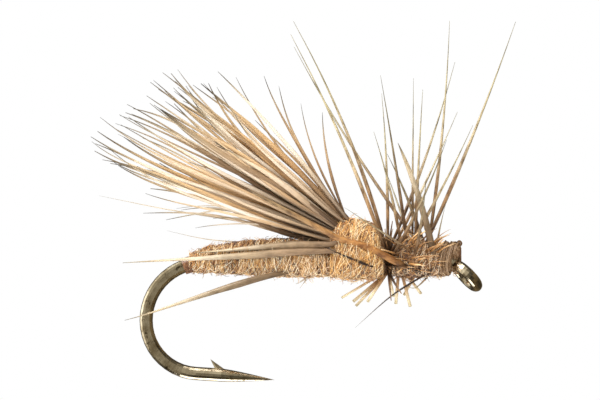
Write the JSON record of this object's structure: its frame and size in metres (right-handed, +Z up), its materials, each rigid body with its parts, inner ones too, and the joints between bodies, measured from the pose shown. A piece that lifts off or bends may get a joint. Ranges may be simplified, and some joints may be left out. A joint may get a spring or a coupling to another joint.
{
  "type": "dry fly",
  "caption": "Hair-wing dry fly for fishing: dubbed body, swept-back hair wing and sparse upright hackle hairs tied on a barbed down-eye hook.",
  "frame": {"origin": "centre of the hook's eye", "axes": "+X forward along the shank, from the bend to the eye; +Z up, away from the hook's point; Y across the fly"},
  "size_m": [0.0208, 0.0098, 0.0168],
  "materials": {
    "bronzed_wire": "bronzed and nickel-bright, satin, finely pitted",
    "tan_thread": "waxed tying thread",
    "brown_thread": "waxed tying thread, varnished",
    "golden_dubbing": "spun fur dubbing, fuzzy, golden tan",
    "rust_dubbing": "spun fur dubbing, fuzzy, rusty brown",
    "wing_hair": "hollow deer hair, satin, dark at the tips",
    "hackle_hair": "guard hair, satin, mottled cream and olive",
    "butt_hair": "clipped hair butts, matt",
    "pale_hair": "deer hair, satin, tan"
  },
  "bodies": {
    "root": {"abdomen_dubbing": "golden_dubbing", "clipped_butt_01": "butt_hair", "clipped_butt_02": "butt_hair", "clipped_butt_03": "butt_hair", "clipped_butt_04": "butt_hair", "clipped_butt_05": "butt_hair", "clipped_butt_06": "butt_hair", "clipped_butt_07": "butt_hair", "clipped_butt_08": "butt_hair", "clipped_butt_09": "butt_hair", "collar_dubbing": "golden_dubbing", "curled_hair": "pale_hair", "dark_collar_hair": "pale_hair", "drooping_hair": "pale_hair", "far_side_hair_lower": "pale_hair", "far_side_hair_upper": "pale_hair", "hackle_hair_01": "hackle_hair", "hackle_hair_02": "hackle_hair", "hackle_hair_03": "hackle_hair", "hackle_hair_04": "hackle_hair", "hackle_hair_05": "hackle_hair", "hackle_hair_06": "hackle_hair", "hackle_hair_07": "hackle_hair", "hackle_hair_08": "hackle_hair", "hackle_hair_09": "hackle_hair", "hackle_hair_10": "hackle_hair", "hackle_hair_11": "hackle_hair", "hackle_hair_12": "hackle_hair", "hackle_hair_13": "hackle_hair", "hackle_hair_14": "hackle_hair", "hackle_hair_15": "hackle_hair", "hackle_hair_16": "hackle_hair", "hackle_hair_17": "hackle_hair", "hackle_hair_18": "hackle_hair", "hackle_hair_19": "hackle_hair", "hackle_hair_20": "hackle_hair", "hackle_thread_front": "brown_thread", "hackle_thread_rear": "brown_thread", "head_thread": "brown_thread", "hook": "bronzed_wire", "over_collar_hair": "pale_hair", "side_hair_lower": "pale_hair", "side_hair_upper": "pale_hair", "thorax_dubbing": "rust_dubbing", "thread_underbody": "tan_thread", "underslung_hair": "pale_hair", "wing_lock_1": "wing_hair", "wing_lock_2": "wing_hair", "wing_lock_3": "wing_hair", "wing_lock_4": "wing_hair", "wing_lock_5": "wing_hair", "wing_lock_6": "wing_hair", "wing_lock_core": "wing_hair", "wing_tie_in_thread": "tan_thread"}
  },
  "joints": []
}
